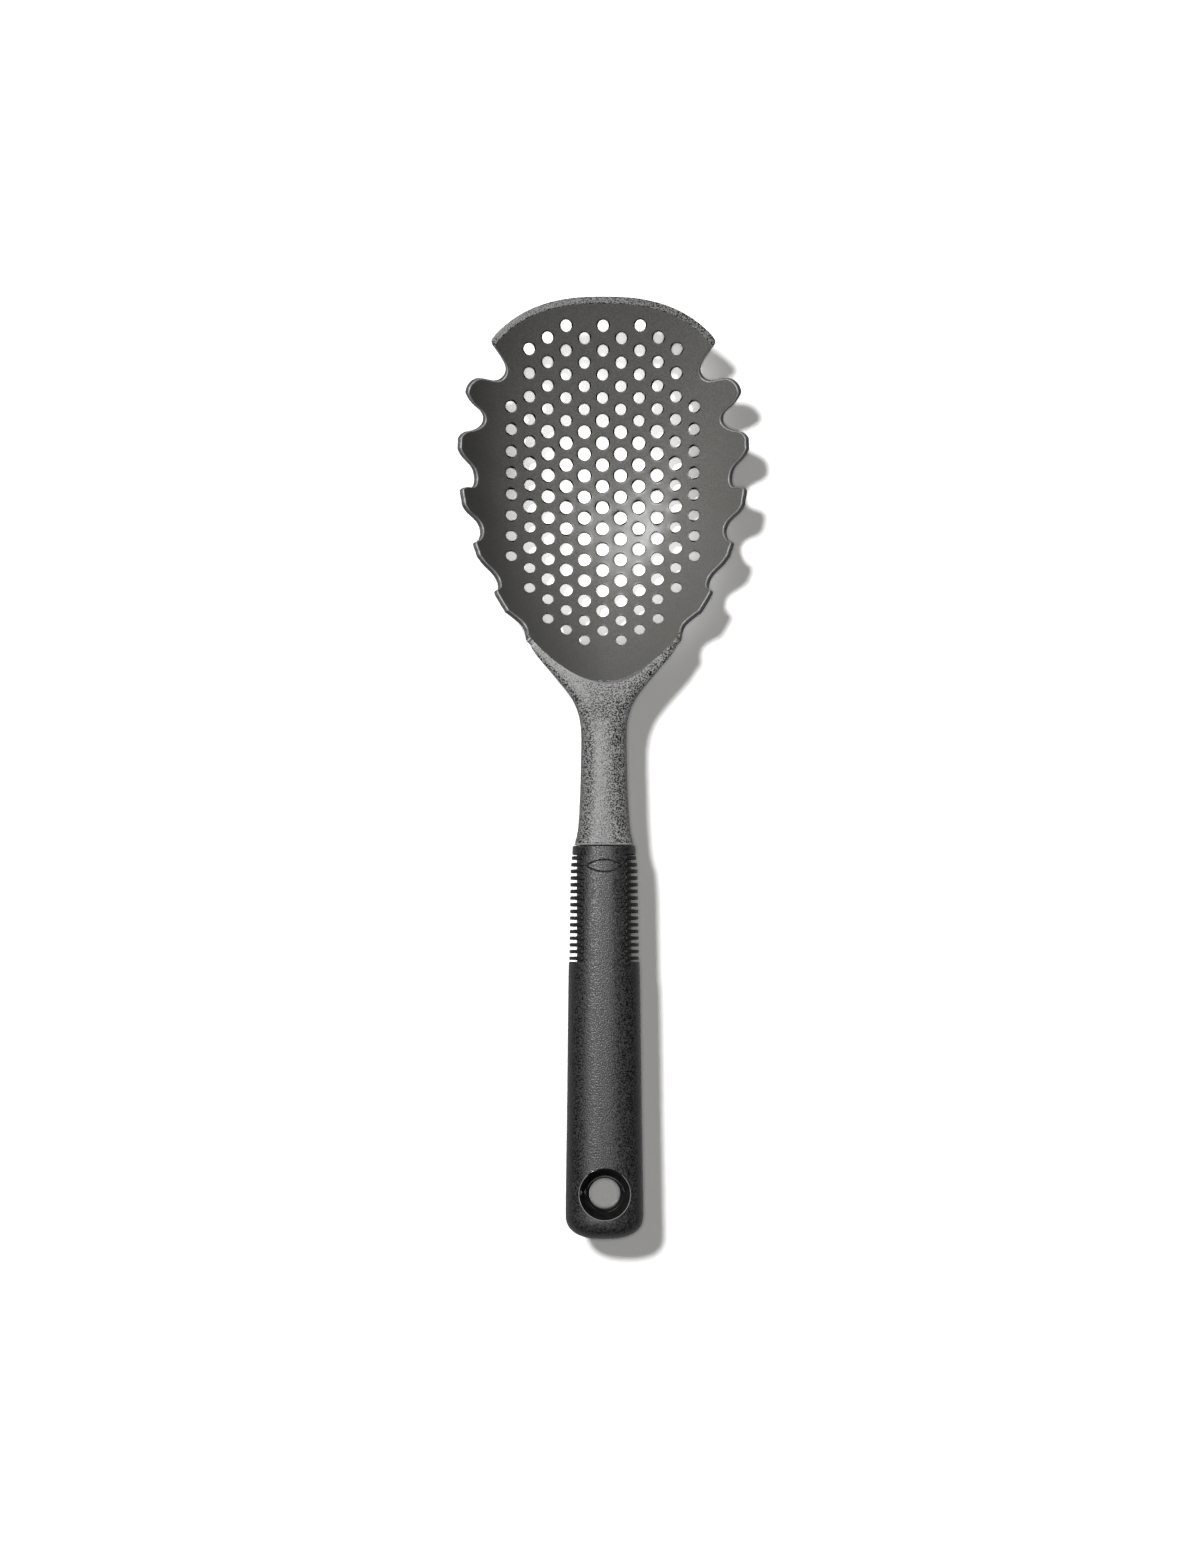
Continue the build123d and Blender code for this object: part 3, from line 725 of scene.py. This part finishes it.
nylonLook = {"scale": 1850.0, "spread": (0.46, 0.54), "dark": 0.002, "light": 0.325, "rough": (0.32, 0.58),
             "bump": 1.0, "depth": 0.00016}
satinLook = {"scale": 2300.0, "spread": (0.38, 0.62), "dark": 0.085, "light": 0.138, "rough": (0.36, 0.46),
             "bump": 0.22, "depth": 0.00005}
# the cut edges' colours sit below the satin bowl's: painted shade for the dark outlines along the rim
edgeLook = {"scale": 2000.0, "spread": (0.38, 0.62), "dark": 0.045, "light": 0.085, "rough": (0.38, 0.46),
            "bump": 0.3, "depth": 0.00005}
softLook = {"scale": 1900.0, "spread": (0.45, 0.55), "dark": 0.002, "light": 0.040, "rough": (0.32, 0.58),
            "bump": 1.0, "depth": 0.00012}
finLook = {"scale": 1500.0, "spread": (0.35, 0.65), "dark": 0.008, "light": 0.016, "rough": (0.45, 0.6),
           "bump": 0.15, "depth": 0.00004}
ringLook = {"scale": 500.0, "spread": (0.35, 0.65), "dark": 0.005, "light": 0.009, "rough": (0.10, 0.16),
            "bump": 0.02, "depth": 0.00003}
coreLook = {"scale": 700.0, "spread": (0.35, 0.65), "dark": 0.02, "light": 0.035, "rough": (0.45, 0.6),
            "bump": 0.1, "depth": 0.00004}


# fine speckle in colour, gloss and height from one fine noise on the piece's own coordinates
def grainMaterial(name, look, tint=(1, 1, 1), specular=0.5):
    material, tree, shader, place = newMaterial(name)
    grain = node(tree, "ShaderNodeTexNoise", Scale=look["scale"], Detail=2.0, Roughness=0.5)
    tree.links.new(place, grain.inputs["Vector"])
    dark, light = (tuple(look[k] * t for t in tint) for k in ("dark", "light"))
    low, high = look["spread"]
    colour = ramp(tree, grain.outputs["Fac"], [(low, dark), (high, light)])
    tree.links.new(colour, shader.inputs["Base Color"])
    rough = ramp(tree, grain.outputs["Fac"], [(low, look["rough"][0]), (high, look["rough"][1])])
    tree.links.new(rough, shader.inputs["Roughness"])
    bump = node(tree, "ShaderNodeBump", Strength=look["bump"], Distance=look["depth"])
    tree.links.new(grain.outputs["Fac"], bump.inputs["Height"])
    tree.links.new(bump.outputs["Normal"], shader.inputs["Normal"])
    shader.inputs["Specular IOR Level"].default_value = specular
    return material


texturedNylon = grainMaterial("texturedNylon", nylonLook, tint=(1.0, 1.0, 0.985), specular=0.6)
satinNylon = grainMaterial("satinNylon", satinLook, tint=(1.0, 0.985, 0.93), specular=0.65)
# a much lighter satin for the neck's last rows: painted highlight
paintedHighlightNylon = grainMaterial("paintedHighlightNylon", {**satinLook, "dark": 0.34, "light": 0.50}, specular=0.5)
# the lip's edge face: the textured nylon with its light stop lowered, a painted shade copy of the same
# material
paintedShadeLipNylon = grainMaterial("paintedShadeLipNylon", {**nylonLook, "light": 0.17}, tint=(1.0, 1.0, 0.985), specular=0.4)
# darker than the bowl's own nylon: painted shade on the rim's cut edge faces
paintedShadeEdgeNylon = grainMaterial("paintedShadeEdgeNylon", edgeLook, specular=0.8)
# a lighter nylon for the rim's inner corner: painted highlight
cornerHighlightNylon = grainMaterial("cornerHighlightNylon", {**edgeLook, "dark": 0.20, "light": 0.30}, specular=0.6)
softSkin = grainMaterial("softSkin", softLook, specular=0.5)
finSkin = grainMaterial("finSkin", finLook, specular=0.4)
# a lighter black for the liner's bead: painted highlight
paintedHighlightRing = grainMaterial("paintedHighlightRing", {**finLook, "dark": 0.08, "light": 0.12}, specular=0.5)
ringGloss = grainMaterial("ringGloss", ringLook, specular=0.5)
corePlastic = grainMaterial("corePlastic", coreLook)
print("finishes made")

# build the pieces
shellPoints, shellFaces, shellSlots = bowlShell()
neckPoints, neckFaces, neckSlots = neckShape()
tangPoints, tangFaces = tangShape()
print("bowl worked out:", len(shellFaces), "faces")
bowlFinishes = [texturedNylon, satinNylon, paintedShadeEdgeNylon, paintedShadeLipNylon, cornerHighlightNylon]
headParts = [makePiece("scoopBowl", shellPoints, shellFaces, bowlFinishes, shellSlots),
             makePiece("scoopNeck", neckPoints, neckFaces, [texturedNylon, paintedHighlightNylon], neckSlots),
             makePiece("scoopTang", tangPoints, tangFaces, [texturedNylon])]
for piece in headParts:
    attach(piece, "root")
    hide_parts("scoop_head")
print("scoop head made")

sleeve = makePiece("gripSleeve", *sleeveShape(), [softSkin])
sides = ringParts["cutterSides"]
turns = np.linspace(0, 2 * pi, sides, endpoint=False)
centre = joint + grip["length"] - ringParts["inset"]
reach = ringParts["outer"] + ringParts["cutterGap"]
rod = np.array([np.column_stack([reach * np.cos(turns), reach * np.sin(turns) - centre, np.full(sides, z)])
                for z in (midHeight - ringParts["cutterReach"], midHeight + ringParts["cutterReach"])])
rodFaces = gridFaces(2, sides, wrapColumns=True) + [list(range(sides))[::-1], list(range(sides, 2 * sides))]
rodPiece = makePiece("holeCutter", rod.reshape(-1, 3), rodFaces, [softSkin])
cut = sleeve.modifiers.new("hangHole", "BOOLEAN")
cut.object, cut.operation, cut.solver = rodPiece, "DIFFERENCE", "EXACT"
graph = bpy.context.evaluated_depsgraph_get()
carved = bpy.data.meshes.new_from_object(sleeve.evaluated_get(graph))
sleeve.modifiers.clear()
sleeve.data = carved
carved.set_sharp_from_angle(angle=radians(35))
bpy.data.objects.remove(rodPiece)
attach(sleeve, "root")
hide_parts("grip_sleeve")
print("grip sleeve made")

finParts = []
for name, cadName, side in (("leftFins", "left_fin_pad", -1), ("rightFins", "right_fin_pad", 1)):
    fins = makePiece(name, *finShape(side), [finSkin])
    finParts.append(fins)
    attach(fins, "root")
    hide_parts(cadName)
linerPoints, linerFaces, linerSlots = linerShape()
liner = makePiece("hangHoleLiner", linerPoints, linerFaces, [ringGloss, paintedHighlightRing], linerSlots)
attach(liner, "root")
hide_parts("hang_hole_liner")
print("fins and liner made")

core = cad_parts["handle_core"]
core = bpy.data.objects[core] if isinstance(core, str) else core
for slot in core.material_slots:
    slot.material = corePlastic

# floor, light and camera
stage = {
    "floorColour": 0.40, "floorSeen": 3.0, "floorShine": 1.1,   # paper as light, the camera and gloss find it
    "floorSize": 6.0, "world": 0.03,
    "fadeFrom": 0.45, "fadeTo": 0.9,   # past the fade the camera sees plain white
    "keyPlace": (-0.43, 0.366, 2.14), "keySize": 0.24,   # high, front left
    "bowlKey": 26.0, "handleKey": 46.0,
    "sidePlace": (-0.88, 0.50, 1.38), "sideSize": 0.22, "bowlSide": 24.0,   # lower, from the left
    "floorKeyPlace": (-0.47, 0.392, 2.12), "floorKey": 17.5, "floorKeySize": 0.20,   # casts the shadow
    "fillPlace": (-0.017, -0.072, 1.45), "floorFill": 1.4, "floorFillSize": 0.1,
    "floorFillTint": (1.0, 0.99, 0.945),
    "spotSize": 0.02,   # two narrow spots brighten the paper under the holes
    "frontHoles": 18.0, "frontHolesCone": 4.1, "frontHolesAim": (0, 0.142, 0),
    "rearHoles": 18.0, "rearHolesCone": 4.1, "rearHolesAim": (0, 0.086, 0),
}

floorMesh = bpy.data.meshes.new("floor")
reach = stage["floorSize"]
corners = [(-reach, -reach, 0), (reach, -reach, 0), (reach, reach, 0), (-reach, reach, 0)]
floorMesh.from_pydata(corners, [], [(0, 1, 2, 3)])
floor = bpy.data.objects.new("floor", floorMesh)
bpy.context.scene.collection.objects.link(floor)
paper = bpy.data.materials.new("paper")
paper.use_nodes = True
tree = paper.node_tree
tree.nodes.remove(tree.nodes["Principled BSDF"])
paperOut = tree.nodes["Material Output"]
rays = tree.nodes.new("ShaderNodeLightPath")
tone = stage["floorColour"]
for ray, value in (("Is Camera Ray", stage["floorSeen"]), ("Is Glossy Ray", stage["floorShine"])):
    mix = node(tree, "ShaderNodeMath", operation="MULTIPLY_ADD")
    tree.links.new(rays.outputs[ray], mix.inputs[0])
    mix.inputs[1].default_value = value - stage["floorColour"]
    if isinstance(tone, float):
        mix.inputs[2].default_value = tone
    else:
        tree.links.new(tone, mix.inputs[2])
    tone = mix.outputs[0]
sheet = tree.nodes.new("ShaderNodeBsdfDiffuse")
tree.links.new(tone, sheet.inputs["Color"])
spot = tree.nodes.new("ShaderNodeTexCoord").outputs["Object"]
away = node(tree, "ShaderNodeVectorMath", operation="LENGTH")
tree.links.new(spot, away.inputs[0])
fade = node(tree, "ShaderNodeMapRange", From_Min=stage["fadeFrom"], From_Max=stage["fadeTo"])
tree.links.new(away.outputs["Value"], fade.inputs["Value"])
share = node(tree, "ShaderNodeMath", operation="MULTIPLY")
tree.links.new(fade.outputs["Result"], share.inputs[0])
tree.links.new(rays.outputs["Is Camera Ray"], share.inputs[1])
glow = node(tree, "ShaderNodeEmission", Strength=1.0)
blend = tree.nodes.new("ShaderNodeMixShader")
tree.links.new(share.outputs[0], blend.inputs[0])
tree.links.new(sheet.outputs[0], blend.inputs[1])
tree.links.new(glow.outputs[0], blend.inputs[2])
tree.links.new(blend.outputs[0], paperOut.inputs["Surface"])
floorMesh.materials.append(paper)

scene = bpy.context.scene
scene.view_settings.view_transform = "Standard"
world = scene.world or bpy.data.worlds.new("studio")
scene.world = world
world.use_nodes = True
world.node_tree.nodes["Background"].inputs["Color"].default_value = (1, 1, 1, 1)
sky = world.node_tree
skyRays = sky.nodes.new("ShaderNodeLightPath")
skyLevel = node(sky, "ShaderNodeMath", operation="MULTIPLY_ADD")
skyLevel.inputs[1].default_value, skyLevel.inputs[2].default_value = 1 - stage["world"], stage["world"]
sky.links.new(skyRays.outputs["Is Camera Ray"], skyLevel.inputs[0])
sky.links.new(skyLevel.outputs[0], sky.nodes["Background"].inputs["Strength"])


# a disc lamp, or a narrow spot where the stage gives it a cone, that lights only the pieces in its own group
def lamp(name, place, size, pieces):
    cone = stage.get(name + "Cone")
    data = bpy.data.lights.new(name, "AREA" if cone is None else "SPOT")
    if cone is None:
        data.shape, data.size = "DISK", size
    else:
        data.shadow_soft_size, data.spot_size, data.spot_blend = size / 2, radians(cone), 1.0
    data.energy, data.color = stage[name], stage.get(name + "Tint", (1, 1, 1))
    made = bpy.data.objects.new(name, data)
    made.location = place
    way = Vector(stage.get(name + "Aim", (0, 0, 0))) - Vector(place)
    made.rotation_euler = way.to_track_quat("-Z", "Y").to_euler()
    scene.collection.objects.link(made)
    group = bpy.data.collections.new("litBy" + name[0].upper() + name[1:])
    for piece in pieces:
        group.objects.link(piece)
    made.light_linking.receiver_collection = group


lamp("bowlKey", stage["keyPlace"], stage["keySize"], headParts[:1])
lamp("bowlSide", stage["sidePlace"], stage["sideSize"], headParts[:1] + [liner])
lamp("handleKey", stage["keyPlace"], stage["keySize"], headParts[1:] + [sleeve, liner] + finParts)
lamp("floorKey", stage["floorKeyPlace"], stage["floorKeySize"], [floor])
lamp("floorFill", stage["fillPlace"], stage["floorFillSize"], [floor])
lamp("frontHoles", stage["fillPlace"], stage["spotSize"], [floor])
lamp("rearHoles", stage["fillPlace"], stage["spotSize"], [floor])

shot = {   # distances in metres, turns in degrees, the lens from its length and the frame's height in pixels
    "distance": 1.450, "nod": -2.86, "lean": 0.65, "roll": 0.05, "aside": 0.00090, "along": 0.11042,
    "focalPixels": 3756.7, "heightPixels": 1545, "sensor": 36, "lipAt": 0.0665, "low": 0.0030, "farthest": 50,
}
turn = (Matrix.Rotation(radians(shot["roll"]), 3, "Z") @ Matrix.Rotation(radians(shot["lean"]), 3, "Y")
        @ Matrix.Rotation(radians(shot["nod"]), 3, "X"))
fitPlace = Vector((0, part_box("scoop_head")[1][1] - shot["lipAt"], shot["low"]))
camera = bpy.data.objects.new("camera", bpy.data.cameras.new("camera"))
camera.data.sensor_width = shot["sensor"]
camera.data.lens = shot["focalPixels"] / shot["heightPixels"] * shot["sensor"]
camera.data.clip_end = shot["farthest"]
camera.location = turn.transposed() @ Vector((-shot["aside"], -shot["along"], shot["distance"])) + fitPlace
camera.rotation_euler = turn.transposed().to_euler()
scene.collection.objects.link(camera)
scene.camera = camera
print("stage set")
